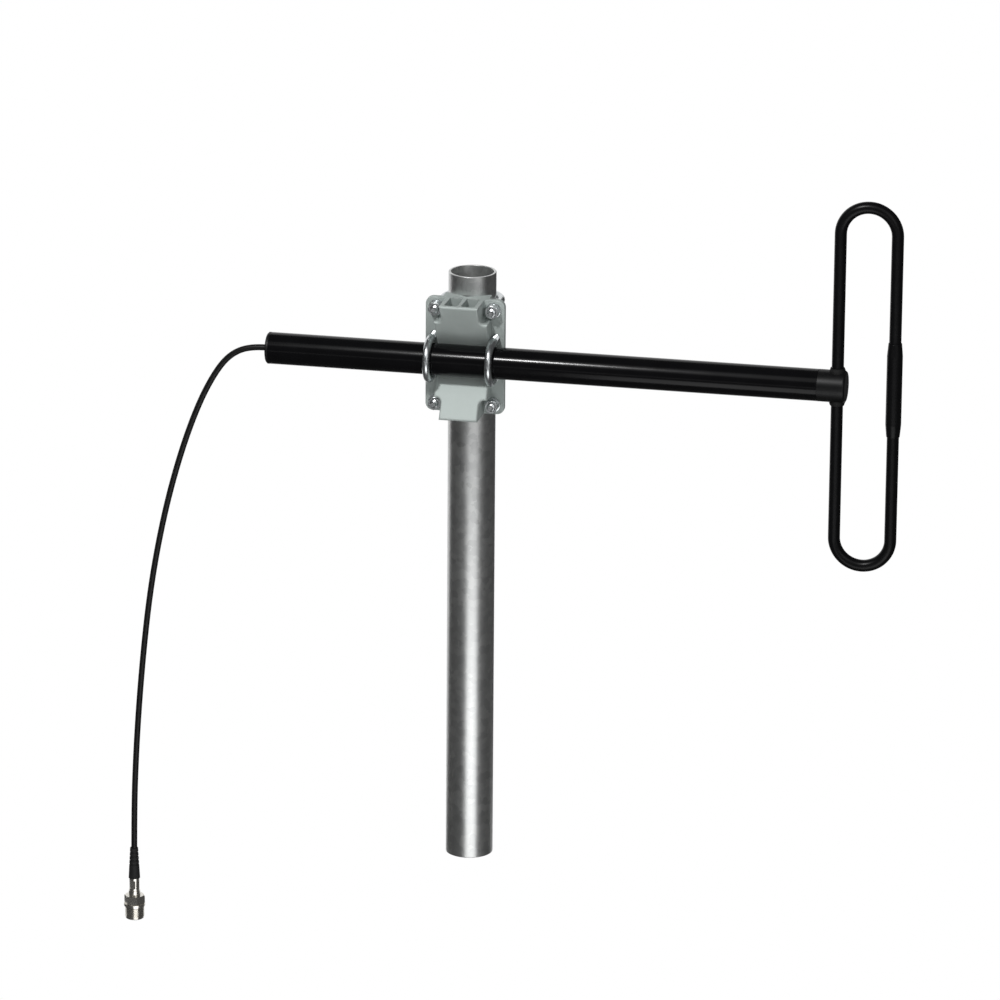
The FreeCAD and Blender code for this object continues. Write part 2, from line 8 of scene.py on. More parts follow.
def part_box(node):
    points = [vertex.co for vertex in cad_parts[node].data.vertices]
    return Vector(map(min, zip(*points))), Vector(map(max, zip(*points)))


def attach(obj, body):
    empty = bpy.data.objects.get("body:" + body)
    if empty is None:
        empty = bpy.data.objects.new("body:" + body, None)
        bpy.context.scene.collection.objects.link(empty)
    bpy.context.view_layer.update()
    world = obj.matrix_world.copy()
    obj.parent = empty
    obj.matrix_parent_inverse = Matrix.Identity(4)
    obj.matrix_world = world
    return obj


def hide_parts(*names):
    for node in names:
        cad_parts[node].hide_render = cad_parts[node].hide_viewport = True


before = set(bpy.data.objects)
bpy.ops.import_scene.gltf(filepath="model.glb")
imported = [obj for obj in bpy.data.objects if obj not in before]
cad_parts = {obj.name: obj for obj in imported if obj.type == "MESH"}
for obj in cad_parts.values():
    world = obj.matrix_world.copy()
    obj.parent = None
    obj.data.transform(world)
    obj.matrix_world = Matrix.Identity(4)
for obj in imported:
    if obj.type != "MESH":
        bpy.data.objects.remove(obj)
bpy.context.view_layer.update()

# Mast: a stub of welded steel tube, hot-dip galvanised after cutting, its end edges broken by hand.
# The zinc froze in dull crystals over faint mill lines; the stub is the fixed part that all else hangs on.


def add_node(tree, kind, sockets=None, **settings):
    """Node of a kind, with its settings made and its sockets set or linked."""
    made = tree.nodes.new(kind)
    for setting, value in settings.items():
        setattr(made, setting, value)
    for key, value in (sockets or {}).items():
        if isinstance(value, bpy.types.NodeSocket):
            tree.links.new(value, made.inputs[key])
        else:
            made.inputs[key].default_value = value
    return made


def new_tree(name, kind, inputs, outputs):
    """Node tree with named sockets, given with its input's outputs and its output's inputs."""
    tree = bpy.data.node_groups.new(name, kind)
    for label, socket_kind, value in inputs:
        socket = tree.interface.new_socket(label, in_out="INPUT", socket_type="NodeSocket" + socket_kind)
        if value is not None:
            socket.default_value = value
    for label, socket_kind in outputs:
        tree.interface.new_socket(label, in_out="OUTPUT", socket_type="NodeSocket" + socket_kind)
    start = tree.nodes.new("NodeGroupInput")
    end = tree.nodes.new("NodeGroupOutput")
    return tree, start.outputs, end.inputs


def effect_tree(name, inputs, outputs):
    """Shader group that takes a place and other named values, and gives named masks."""
    place = [("Vector", "Vector", None)]
    return new_tree(name, "ShaderNodeTree", place + inputs, [(label, "Float") for label in outputs])


def sum_of(tree, operation, first, second):
    """Result of one sum on two values."""
    return add_node(tree, "ShaderNodeMath", {0: first, 1: second}, operation=operation).outputs[0]


def vector_sum(tree, operation, first, second):
    """Result of one sum on two vectors."""
    return add_node(tree, "ShaderNodeVectorMath", {0: first, 1: second}, operation=operation).outputs[0]


def between(tree, mask, low, high):
    """Mask of 0 to 1 spread over a range of values."""
    spread = {"Value": mask, "To Min": low, "To Max": high}
    return add_node(tree, "ShaderNodeMapRange", spread).outputs["Result"]


def blended(tree, mask, first, second):
    """Colour from a first to a second as a mask goes from 0 to 1."""
    return add_node(tree, "ShaderNodeMix", {0: mask, 6: first, 7: second}, data_type="RGBA").outputs[2]


def weighed(tree, first, share, second):
    """Two masks added up, the first by its share and the second by the rest."""
    rest = sum_of(tree, "MULTIPLY", second, 1 - share)
    sockets = {0: first, 1: share, 2: rest}
    return add_node(tree, "ShaderNodeMath", sockets, operation="MULTIPLY_ADD").outputs[0]


def zinc_crystal_group():
    """Frozen zinc: crystals of one tone each, their seams, and slow clouds across them."""
    tree, given, result = effect_tree(
        "zinc_crystals", [("Crystal Size", "Float", 0.004)], ["Crystal", "Seam", "Cloud"])
    scale = sum_of(tree, "DIVIDE", 1.0, given["Crystal Size"])
    ragged = add_node(tree, "ShaderNodeTexNoise", {
        "Vector": given["Vector"], "Scale": sum_of(tree, "MULTIPLY", scale, 1.7), "Detail": 2.0})
    push = vector_sum(tree, "SUBTRACT", ragged.outputs["Color"], (0.5, 0.5, 0.5))
    push = add_node(tree, "ShaderNodeVectorMath", {
        0: push, "Scale": sum_of(tree, "MULTIPLY", given["Crystal Size"], 0.8)}, operation="SCALE")
    moved = vector_sum(tree, "ADD", given["Vector"], push.outputs[0])
    cells = add_node(tree, "ShaderNodeTexVoronoi", {"Vector": moved, "Scale": scale})
    tone = add_node(tree, "ShaderNodeSeparateColor", {"Color": cells.outputs["Color"]})
    seams = add_node(tree, "ShaderNodeTexVoronoi", {"Vector": moved, "Scale": scale},
                     feature="DISTANCE_TO_EDGE")
    seam = add_node(tree, "ShaderNodeMapRange", {"Value": seams.outputs["Distance"], "From Max": 0.12})
    cloud = add_node(tree, "ShaderNodeTexNoise", {
        "Vector": given["Vector"], "Scale": sum_of(tree, "MULTIPLY", scale, 0.11), "Detail": 4.0})
    tree.links.new(tone.outputs["Red"], result["Crystal"])
    tree.links.new(seam.outputs["Result"], result["Seam"])
    tree.links.new(cloud.outputs["Fac"], result["Cloud"])
    return tree


def tool_mark_group():
    """Fine lines left by a die, a lathe or a roller: noise drawn out along one direction."""
    tree, given, result = effect_tree(
        "tool_marks", [("Lines per Metre", "Vector", (2000, 2000, 4))], ["Mark"])
    drawn = vector_sum(tree, "MULTIPLY", given["Vector"], given["Lines per Metre"])
    lines = add_node(tree, "ShaderNodeTexNoise", {"Vector": drawn, "Scale": 1.0, "Detail": 3.0})
    tree.links.new(lines.outputs["Fac"], result["Mark"])
    return tree


def new_finish(name, surface):
    """Material with its shader's plain sockets set; gives its tree, shader and object coordinates too."""
    made = bpy.data.materials.new(name)
    made.use_nodes = True
    tree = made.node_tree
    shader = tree.nodes["Principled BSDF"]
    for socket, value in surface.items():
        shader.inputs[socket].default_value = value
    place = add_node(tree, "ShaderNodeTexCoord").outputs["Object"]
    return made, tree, shader, place


def in_group(tree, group, sockets):
    """Shared effect placed in a material with its own values."""
    return add_node(tree, "ShaderNodeGroup", sockets, node_tree=group).outputs


def bumped(tree, shader, height, distance, strength=1.0):
    """Height in a material turned into its normal."""
    bump = add_node(tree, "ShaderNodeBump", {"Height": height, "Distance": distance, "Strength": strength})
    tree.links.new(bump.outputs["Normal"], shader.inputs["Normal"])


def surfaced(tree, shader, colour, rough):
    """Colour and roughness in a material linked to its shader."""
    tree.links.new(colour, shader.inputs["Base Color"])
    tree.links.new(rough, shader.inputs["Roughness"])


zinc_crystals = zinc_crystal_group()
tool_marks = tool_mark_group()


def galvanised_finish():
    """Dull hot-dip zinc with crystals about 5 mm across."""
    made, tree, shader, place = new_finish("galvanised_zinc", {"Metallic": 1.0})
    zinc = in_group(tree, zinc_crystals, {"Vector": place, "Crystal Size": 0.005})
    lines = in_group(tree, tool_marks, {"Vector": place, "Lines per Metre": (1500, 1500, 6)})["Mark"]
    tone = weighed(tree, zinc["Crystal"], 0.5, zinc["Cloud"])
    colour = blended(tree, tone, (0.49, 0.50, 0.50, 1), (0.73, 0.74, 0.73, 1))
    rough = sum_of(tree, "ADD", between(tree, tone, 0.31, 0.39), between(tree, lines, -0.03, 0.05))
    surfaced(tree, shader, colour, rough)
    facets = sum_of(tree, "ADD", zinc["Crystal"], sum_of(tree, "MULTIPLY", zinc["Seam"], 0.4))
    relief = sum_of(tree, "ADD", sum_of(tree, "MULTIPLY", lines, 1.5), facets)
    bumped(tree, shader, relief, 0.00001, 0.5)
    return made


def eased(corners, radius, steps=4):
    """Closed outline with each corner rounded."""
    outline = []
    for index, corner in enumerate(corners):
        here = Vector(corner)
        back = Vector(corners[index - 1]) - here
        ahead = Vector(corners[(index + 1) % len(corners)]) - here
        reach = radius / math.tan(back.angle(ahead) / 2)
        start = here + back * min(reach / back.length, 0.45)
        end = here + ahead * min(reach / ahead.length, 0.45)
        for step in range(steps + 1):
            t = step / steps
            outline.append(start * (1 - t) ** 2 + here * 2 * t * (1 - t) + end * t ** 2)
    return outline


def ring_at(shape, outline, turn):
    """New points of a (radius, height) outline, set at a turn about Z."""
    return [shape.verts.new((r * math.cos(turn), r * math.sin(turn), z)) for r, z in outline]


def skin_over(shape, rings):
    """Faces from each ring of points to the next."""
    for ring, beside in zip(rings, rings[1:]):
        for point in range(len(ring)):
            after = (point + 1) % len(ring)
            shape.faces.new((ring[point], beside[point], beside[after], ring[after]))


def turned_shape(outline, steps):
    """Closed outline of (radius, height) points turned about Z."""
    shape = bmesh.new()
    rings = [ring_at(shape, outline, math.tau * step / steps) for step in range(steps)]
    skin_over(shape, rings + rings[:1])
    bmesh.ops.recalc_face_normals(shape, faces=shape.faces)
    return shape


UP = Vector((0, 0, 1))


def laid(direction, at):
    """Matrix that turns Z to a direction and carries the origin to a point."""
    return Matrix.Translation(at) @ UP.rotation_difference(Vector(direction)).to_matrix().to_4x4()


SHARP = math.radians(32)


def mesh_from(shape, name, matrix=Matrix.Identity(4), sharp=SHARP):
    """Smooth-shaded mesh from an edit shape, set in its place, with its real edges kept sharp."""
    mesh = bpy.data.meshes.new(name)
    shape.to_mesh(mesh)
    shape.free()
    mesh.transform(matrix)
    return smoothed(mesh, sharp)


def smoothed(mesh, sharp=SHARP):
    """Mesh shaded smooth, apart from its real edges; normals kept from an earlier shape are dropped."""
    stale = mesh.attributes.get("custom_normal")
    if stale:
        mesh.attributes.remove(stale)
    mesh.shade_smooth()
    mesh.set_sharp_from_angle(angle=sharp)
    return mesh


def new_object(name, data):
    """Object in the scene, at its origin."""
    made = bpy.data.objects.new(name, data)
    bpy.context.scene.collection.objects.link(made)
    return made


def piece_of(name, mesh, finish, slot, *stands_for):
    """Finished piece in its place, riding on the part and standing for CAD nodes."""
    piece = new_object(name, mesh)
    mesh.materials.clear()
    mesh.materials.append(finish)
    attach(piece, "root")
    if stands_for:
        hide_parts(*stands_for)
    return piece


galvanised = galvanised_finish()
mast_low, mast_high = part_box("mast_tube")
mast_r = mast_high.x
mast_wall = 0.002
mast_edge = 0.0005
mast_outline = eased([
    (mast_r - mast_wall, mast_low.z), (mast_r, mast_low.z),
    (mast_r, mast_high.z), (mast_r - mast_wall, mast_high.z),
], mast_edge)
mast_mesh = mesh_from(turned_shape(mast_outline, steps=128), "galvanised_mast")
piece_of("galvanised_mast", mast_mesh, galvanised, "galvanised_steel", "mast_tube")

# Clamp saddle: one aluminium casting, trimmed and barrel-polished, between the mast and the boom.
# Its front V carries the boom, and the toothed V behind bites the mast; eight holes take the U-bolts.


def satin_skin_group():
    """Fine grain and slow mottle of a cast, moulded or coated skin."""
    tree, given, result = effect_tree(
        "satin_skin", [("Grain Size", "Float", 0.0006)], ["Grain", "Mottle"])
    scale = sum_of(tree, "DIVIDE", 1.0, given["Grain Size"])
    grain = add_node(tree, "ShaderNodeTexNoise", {"Vector": given["Vector"], "Scale": scale, "Detail": 2.0})
    mottle = add_node(tree, "ShaderNodeTexNoise", {
        "Vector": given["Vector"], "Scale": sum_of(tree, "MULTIPLY", scale, 0.05), "Detail": 4.0})
    tree.links.new(grain.outputs["Fac"], result["Grain"])
    tree.links.new(mottle.outputs["Fac"], result["Mottle"])
    return tree


def rubbed_edge_group():
    """Where handling has rubbed the eased edges: broken patches along them."""
    tree, given, result = effect_tree(
        "rubbed_edges", [("Edge", "Float", 0.0), ("Patch Size", "Float", 0.002)], ["Rubbed"])
    scale = sum_of(tree, "DIVIDE", 1.0, given["Patch Size"])
    patch = add_node(tree, "ShaderNodeTexNoise", {"Vector": given["Vector"], "Scale": scale, "Detail": 3.0})
    share = add_node(tree, "ShaderNodeMapRange", {
        "Value": patch.outputs["Fac"], "From Min": 0.38, "From Max": 0.58})
    tree.links.new(sum_of(tree, "MULTIPLY", share.outputs["Result"], given["Edge"]), result["Rubbed"])
    return tree


satin_skin = satin_skin_group()
rubbed_edges = rubbed_edge_group()


def cast_finish():
    """Pale, faintly green-grey casting with rubbed edges."""
    made, tree, shader, place = new_finish("cast_aluminium", {"Metallic": 0.45})
    skin = in_group(tree, satin_skin, {"Vector": place, "Grain Size": 0.0007})
    edge = add_node(tree, "ShaderNodeAttribute", attribute_name="eased_edge").outputs["Fac"]
    rubbed = in_group(tree, rubbed_edges, {"Vector": place, "Edge": edge, "Patch Size": 0.003})["Rubbed"]
    tone = blended(tree, skin["Mottle"], (0.36, 0.405, 0.39, 1), (0.46, 0.505, 0.49, 1))
    dull = between(tree, skin["Mottle"], 0.58, 0.70)
    rough = sum_of(tree, "SUBTRACT", dull, sum_of(tree, "MULTIPLY", rubbed, 0.14))
    surfaced(tree, shader, blended(tree, rubbed, tone, (0.80, 0.81, 0.80, 1)), rough)
    bumped(tree, shader, sum_of(tree, "ADD", skin["Grain"], skin["Mottle"]), 0.0001, 0.6)
    return made


SAME_POINT = 2e-6
FLAT = math.radians(0.4)


def cad_shape(node):
    """Edit shape from a copy of a CAD node, its seams closed and its flat faces joined up."""
    shape = bmesh.new()
    shape.from_mesh(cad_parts[node].data)
    bmesh.ops.remove_doubles(shape, verts=shape.verts, dist=SAME_POINT)
    bmesh.ops.dissolve_limit(shape, angle_limit=FLAT, verts=shape.verts, edges=shape.edges)
    return shape


def ease_edges(shape, width, steps, wanted):
    """Real edges of a shape rounded off; the new faces that stand out are marked for rubbing."""
    mark = shape.faces.layers.float.new("eased_edge")
    least_turn = math.radians(5)
    sharp = [e for e in shape.edges if e.is_manifold and e.calc_face_angle(0) > SHARP and wanted(e)]
    made = bmesh.ops.bevel(shape, geom=sharp, offset=width, segments=steps, profile=0.5,
                           affect="EDGES", clamp_overlap=False)
    for face in made["faces"]:
        turns = [e for e in face.edges if e.is_manifold and e.calc_face_angle(0) > least_turn]
        face[mark] = float(all(e.is_convex for e in turns))
    bmesh.ops.dissolve_degenerate(shape, dist=SAME_POINT, edges=shape.edges)


cast = cast_finish()
saddle_shape = cad_shape("clamp_saddle")
tooth_zone_depth = 0.0105
tooth_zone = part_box("clamp_saddle")[1].y - tooth_zone_depth
shortest_eased = 0.0012
cast_ease = 0.0004


def on_plate_or_seat(edge):
    """Long edges of the plate and of the boom's seat, clear of the teeth and the bolt holes."""
    return edge.calc_length() > shortest_eased and max(v.co.y for v in edge.verts) < tooth_zone


def modified(name, base, add_modifier):
    """Plain mesh that a modifier makes of a base mesh."""
    carrier = new_object(name, base)
    modifier = add_modifier(carrier)
    graph = bpy.context.evaluated_depsgraph_get()
    mesh = bpy.data.meshes.new_from_object(carrier.evaluated_get(graph))
    carrier.modifiers.remove(modifier)
    bpy.data.objects.remove(carrier)
    return mesh


def broad_faces(carrier):
    """Modifier that lets broad faces keep their own normals, so only narrow eased edges look round."""
    modifier = carrier.modifiers.new("broad_faces", "WEIGHTED_NORMAL")
    modifier.keep_sharp = True
    return modifier


ease_edges(saddle_shape, cast_ease, steps=2, wanted=on_plate_or_seat)
saddle_mesh = mesh_from(saddle_shape, "saddle_casting")
saddle_mesh = modified("saddle_casting", saddle_mesh, broad_faces)
piece_of("saddle_casting", saddle_mesh, cast, "cast_aluminium", "clamp_saddle")

# U-bolts: round steel rod with rolled ends, bent hot over a former and bright zinc plated.
# Two go round the back of the mast and two round the front of the boom, all through the saddle.


def zinc_plate_finish():
    """Bright zinc plate with a slight blue passivation and small clouds."""
    made, tree, shader, place = new_finish("zinc_plate", {"Metallic": 1.0})
    zinc = in_group(tree, zinc_crystals, {"Vector": place, "Crystal Size": 0.0011})
    skin = in_group(tree, satin_skin, {"Vector": place, "Grain Size": 0.0003})
    tone = weighed(tree, zinc["Crystal"], 0.25, zinc["Cloud"])
    colour = blended(tree, tone, (0.50, 0.53, 0.55, 1), (0.74, 0.76, 0.76, 1))
    surfaced(tree, shader, colour, between(tree, tone, 0.22, 0.36))
    bumped(tree, shader, skin["Grain"], 0.00002, 0.35)
    return made


def tree_node(tree, kind, sockets=None, **settings):
    """First output of a node in a geometry tree."""
    return add_node(tree, kind, sockets, **settings).outputs[0]


def geometry_tree(name, inputs):
    """Geometry tree with named inputs that gives one geometry."""
    return new_tree(name, "GeometryNodeTree", inputs, [("Geometry", "Geometry")])


def ridge_tree():
    """Thread's ridge along Z from the origin, wound on a core and faded out at both ends."""
    tree, given, result = geometry_tree("thread_ridge", [
        ("Diameter", "Float", 0.006), ("Depth", "Float", 0.0006), ("Pitch", "Float", 0.001),
        ("Length", "Float", 0.025), ("Steps", "Int", 24)])
    core = sum_of(tree, "SUBTRACT", sum_of(tree, "MULTIPLY", given["Diameter"], 0.5), given["Depth"])
    turns = sum_of(tree, "DIVIDE", given["Length"], given["Pitch"])
    helix = tree_node(tree, "GeometryNodeCurveSpiral", {
        "Resolution": given["Steps"], "Rotations": turns,
        "Start Radius": core, "End Radius": core, "Height": given["Length"]})
    helix = tree_node(tree, "GeometryNodeSetCurveNormal", {"Curve": helix}, mode="Z_UP")
    along = add_node(tree, "GeometryNodeSplineParameter").outputs["Factor"]
    ends = sum_of(tree, "MINIMUM", along, sum_of(tree, "SUBTRACT", 1.0, along))
    least_fade = 0.05
    grown_in = sum_of(tree, "ADD", sum_of(tree, "MULTIPLY", ends, turns), least_fade)
    fade = sum_of(tree, "MINIMUM", grown_in, 1.0)
    sunk_share = 0.2
    root = sum_of(tree, "MULTIPLY", given["Depth"], sunk_share)
    crest = sum_of(tree, "MULTIPLY", given["Depth"], -1.0)
    root_half = 0.47
    crest_half = 0.07
    corners = []
    for inward, half_width in (
            (root, -root_half), (root, root_half), (crest, crest_half), (crest, -crest_half)):
        wide = sum_of(tree, "MULTIPLY", given["Pitch"], half_width)
        corners.append(tree_node(tree, "ShaderNodeCombineXYZ", {"X": inward, "Y": wide}))
    outline = tree_node(tree, "GeometryNodeCurvePrimitiveQuadrilateral", {
        "Point 1": corners[0], "Point 2": corners[1], "Point 3": corners[2], "Point 4": corners[3],
    }, mode="POINTS")
    ridge = tree_node(tree, "GeometryNodeCurveToMesh", {
        "Curve": helix, "Profile Curve": outline, "Scale": fade, "Fill Caps": True})
    tree.links.new(ridge, result["Geometry"])
    return tree


def grouped(tree, group, links):
    """Geometry tree used inside another, with its inputs linked or set."""
    return tree_node(tree, "GeometryNodeGroup", links, node_tree=group)


def along_z(tree, reach):
    """Point on Z."""
    return tree_node(tree, "ShaderNodeCombineXYZ", {"Z": reach})


def same_count(tree, first, second):
    """Mask of where two counts are the same."""
    return tree_node(tree, "FunctionNodeCompare", {2: first, 3: second}, data_type="INT", operation="EQUAL")


def joined(tree, parts):
    """Geometries joined to one."""
    made = tree.nodes.new("GeometryNodeJoinGeometry")
    for part in parts:
        tree.links.new(part, made.inputs[0])
    return made.outputs[0]


def thread_tree(ridge):
    """One rolled thread end along Z: a core with a chamfered tip, and the ridge round it."""
    tree, given, result = geometry_tree("rolled_thread", [
        ("Diameter", "Float", 0.006), ("Depth", "Float", 0.0006), ("Pitch", "Float", 0.001),
        ("Length", "Float", 0.025), ("Tip Chamfer", "Float", 0.0008), ("Steps", "Int", 24)])
    core = sum_of(tree, "SUBTRACT", sum_of(tree, "MULTIPLY", given["Diameter"], 0.5), given["Depth"])
    rise = sum_of(tree, "SUBTRACT", given["Length"], given["Tip Chamfer"])
    wound = grouped(tree, ridge, {
        "Diameter": given["Diameter"], "Depth": given["Depth"], "Pitch": given["Pitch"],
        "Length": rise, "Steps": given["Steps"]})
    line = tree_node(tree, "GeometryNodeCurvePrimitiveLine", {"End": along_z(tree, given["Length"])})
    line = tree_node(tree, "GeometryNodeSubdivideCurve", {"Curve": line, "Cuts": 1})
    number = tree_node(tree, "GeometryNodeInputIndex")
    line = tree_node(tree, "GeometryNodeSetPosition", {
        "Geometry": line, "Selection": same_count(tree, number, 1), "Position": along_z(tree, rise)})
    tip_slope = 1.25
    tip_share = sum_of(tree, "DIVIDE", given["Tip Chamfer"], sum_of(tree, "MULTIPLY", core, tip_slope))
    narrowed = sum_of(tree, "MULTIPLY", same_count(tree, number, 2), tip_share)
    section = tree_node(tree, "GeometryNodeCurvePrimitiveCircle", {
        "Resolution": given["Steps"], "Radius": core})
    stem = tree_node(tree, "GeometryNodeCurveToMesh", {
        "Curve": line, "Profile Curve": section, "Scale": sum_of(tree, "SUBTRACT", 1.0, narrowed),
        "Fill Caps": True})
    tree.links.new(joined(tree, (wound, stem)), result["Geometry"])
    return tree


def close_tree(tree, geometry, finish, result):
    """Last nodes of every geometry tree here: instances made real, then the material set."""
    real = tree_node(tree, "GeometryNodeRealizeInstances", {"Geometry": geometry})
    tree.links.new(tree_node(tree, "GeometryNodeSetMaterial", {
        "Geometry": real, "Material": finish}), result["Geometry"])


def bent_path(tree, given):
    """Centre line of a bent rod: the base mesh's runs with their corners rounded."""
    runs = tree_node(tree, "GeometryNodeMeshToCurve", {"Mesh": given["Geometry"]})
    return tree_node(tree, "GeometryNodeFilletCurve", {
        "Curve": runs, "Radius": given["Bend Radius"], "Count": given["Bend Steps"],
        "Limit Radius": True}, mode="POLY")


def round_bar(tree, path, given):
    """Round section of a rod along its centre line, with closed ends."""
    section = tree_node(tree, "GeometryNodeCurvePrimitiveCircle", {
        "Resolution": given["Round Steps"], "Radius": sum_of(tree, "MULTIPLY", given["Diameter"], 0.5)})
    return tree_node(tree, "GeometryNodeCurveToMesh", {
        "Curve": path, "Profile Curve": section, "Fill Caps": True})


BENT_ROD_SOCKETS = [
    ("Geometry", "Geometry", None), ("Diameter", "Float", 0.006),
    ("Bend Radius", "Float", 0.02), ("Bend Steps", "Int", 24),
    ("Round Steps", "Int", 32), ("Material", "Material", None),
]


def turned_to(tree, direction):
    """Rotation that turns Z to a direction."""
    return tree_node(tree, "FunctionNodeAlignRotationToVector", {"Vector": direction}, axis="Z")


def u_bolt_tree(thread):
    """Rod bent to a U between its two threaded ends."""
    tree, given, result = geometry_tree("threaded_u_bolt", BENT_ROD_SOCKETS + [
        ("Thread Length", "Float", 0.025), ("Pitch", "Float", 0.001),
        ("Thread Depth", "Float", 0.0006), ("Leg Direction", "Vector", (0, 0, 1))])
    path = bent_path(tree, given)
    whole = tree_node(tree, "GeometryNodeCurveLength", {"Curve": path})
    shank = add_node(tree, "GeometryNodeTrimCurve", {
        "Curve": path, 4: given["Thread Length"],
        5: sum_of(tree, "SUBTRACT", whole, given["Thread Length"])}, mode="LENGTH").outputs[0]
    shank = round_bar(tree, shank, given)
    end = grouped(tree, thread, {
        "Diameter": given["Diameter"], "Depth": given["Thread Depth"], "Pitch": given["Pitch"],
        "Length": given["Thread Length"], "Steps": given["Round Steps"]})
    back = sum_of(tree, "MULTIPLY", given["Thread Length"], -1.0)
    end = tree_node(tree, "GeometryNodeTransform", {"Geometry": end, "Translation": along_z(tree, back)})
    beside = add_node(tree, "GeometryNodeInputMeshVertexNeighbors").outputs["Vertex Count"]
    tips = tree_node(tree, "GeometryNodeMeshToPoints", {
        "Mesh": given["Geometry"], "Selection": same_count(tree, beside, 1)})
    turn = turned_to(tree, given["Leg Direction"])
    ends = tree_node(tree, "GeometryNodeInstanceOnPoints", {
        "Points": tips, "Instance": end, "Rotation": turn})
    close_tree(tree, joined(tree, (shank, ends)), given["Material"], result)
    return tree


def path_mesh(name, points):
    """Base mesh of runs from point to point."""
    mesh = bpy.data.meshes.new(name)
    mesh.from_pydata(points, [(i, i + 1) for i in range(len(points) - 1)], [])
    return mesh


def grown(name, base, tree, values):
    """Plain mesh that a geometry tree makes of a base mesh, its inputs set by socket identifier."""
    def tree_modifier(carrier):
        modifier = carrier.modifiers.new(tree.name, "NODES")
        modifier.node_group = tree
        for item in tree.interface.items_tree:
            if item.in_out == "INPUT" and item.name in values:
                modifier[item.identifier] = values[item.name]
        return modifier

    return smoothed(modified(name, base, tree_modifier))


zinc_plate = zinc_plate_finish()
thread_ridge = ridge_tree()
threaded_u_bolt = u_bolt_tree(thread_tree(thread_ridge))
u_rod = 0.006
u_thread = 0.026
u_pitch = 0.001
u_thread_depth = 0.0006
u_steps = 28
# Two bends of a rod end just short of each other, so both keep their full radius.
BEND_SHARE = 0.999
MAST_LEGS_TO = Vector((0, -1, 0))
BOOM_LEGS_TO = Vector((0, 1, 0))


def u_bolt_piece(node, legs_to, across):
    """U-bolt from its node's box: legs one way, its bow the other."""
    low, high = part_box(node)
    middle = (low + high) / 2
    inset = Vector((u_rod / 2,) * 3)
    low, high = low + inset, high - inset
    half = (high - low).dot(across) / 2
    tip_y = low.y - inset.y if legs_to.y < 0 else high.y + inset.y
    bow_y = high.y if legs_to.y < 0 else low.y
    legs = []
    for side in (-1, 1):
        foot = Vector(middle) + across * half * side
        legs.append([Vector((foot.x, tip_y, foot.z)), Vector((foot.x, bow_y, foot.z))])
    points = [legs[0][0], legs[0][1], legs[1][1], legs[1][0]]
    mesh = grown(node + "_rod", path_mesh(node + "_runs", points), threaded_u_bolt, {
        "Diameter": u_rod, "Bend Radius": half * BEND_SHARE, "Bend Steps": u_steps,
        "Round Steps": u_steps, "Thread Length": u_thread, "Pitch": u_pitch, "Thread Depth": u_thread_depth,
        "Leg Direction": tuple(legs_to), "Material": zinc_plate})
    piece_of(node + "_rod", mesh, zinc_plate, "zinc_plate", node)


for u_bolt in ("upper_mast_u_bolt", "lower_mast_u_bolt"):
    u_bolt_piece(u_bolt, MAST_LEGS_TO, Vector((1, 0, 0)))
for u_bolt in ("rear_boom_u_bolt", "front_boom_u_bolt"):
    u_bolt_piece(u_bolt, BOOM_LEGS_TO, Vector((0, 0, 1)))

# Washers, spring washers and nuts: zinc-plated steel, one of each on every U-bolt leg.
# The washers are blanked, the spring washers coiled and cut, the hexagon nuts cold formed.


def fastener_tree():
    """One fastener on each leg's point, turned by chance about the leg."""
    tree, given, result = geometry_tree("fasteners_on_legs", [
        ("Geometry", "Geometry", None), ("Fastener", "Object", None),
        ("Leg Direction", "Vector", (0, 0, 1)), ("Seed", "Int", 1), ("Material", "Material", None)])
    fastener = add_node(tree, "GeometryNodeObjectInfo", {"Object": given["Fastener"]}).outputs["Geometry"]
    by_chance = add_node(tree, "FunctionNodeRandomValue", {
        2: 0.0, 3: math.tau, "Seed": given["Seed"]}, data_type="FLOAT").outputs[1]
    spin = tree_node(tree, "FunctionNodeAxisAngleToRotation", {"Axis": (0, 0, 1), "Angle": by_chance})
    turn = turned_to(tree, given["Leg Direction"])
    turn = tree_node(tree, "FunctionNodeRotateRotation", {
        "Rotation": turn, "Rotate By": spin}, rotation_space="LOCAL")
    points = tree_node(tree, "GeometryNodeMeshToPoints", {"Mesh": given["Geometry"]})
    placed = tree_node(tree, "GeometryNodeInstanceOnPoints", {
        "Points": points, "Instance": fastener, "Rotation": turn})
    close_tree(tree, placed, given["Material"], result)
    return tree


def washer_shape(inner, outer, thickness):
    """Blanked washer with softened rims."""
    corners = [(inner, 0), (outer, 0), (outer, thickness), (inner, thickness)]
    return turned_shape(eased(corners, radius=thickness * 0.16, steps=2), steps=64)


def spring_washer_shape(inner, outer, thickness, slit):
    """Coiled washer cut through once, pressed almost flat."""
    corners = [(inner, 0), (outer, 0), (outer, thickness), (inner, thickness)]
    section = eased(corners, radius=thickness * 0.14, steps=2)
    gap = slit / outer
    steps = 60
    turns = [gap / 2 + (math.tau - gap) * step / steps for step in range(steps + 1)]
    shape = bmesh.new()
    rings = [ring_at(shape, section, turn) for turn in turns]
    skin_over(shape, rings)
    shape.faces.new(rings[0])
    shape.faces.new(rings[-1])
    bmesh.ops.recalc_face_normals(shape, faces=shape.faces)
    return shape


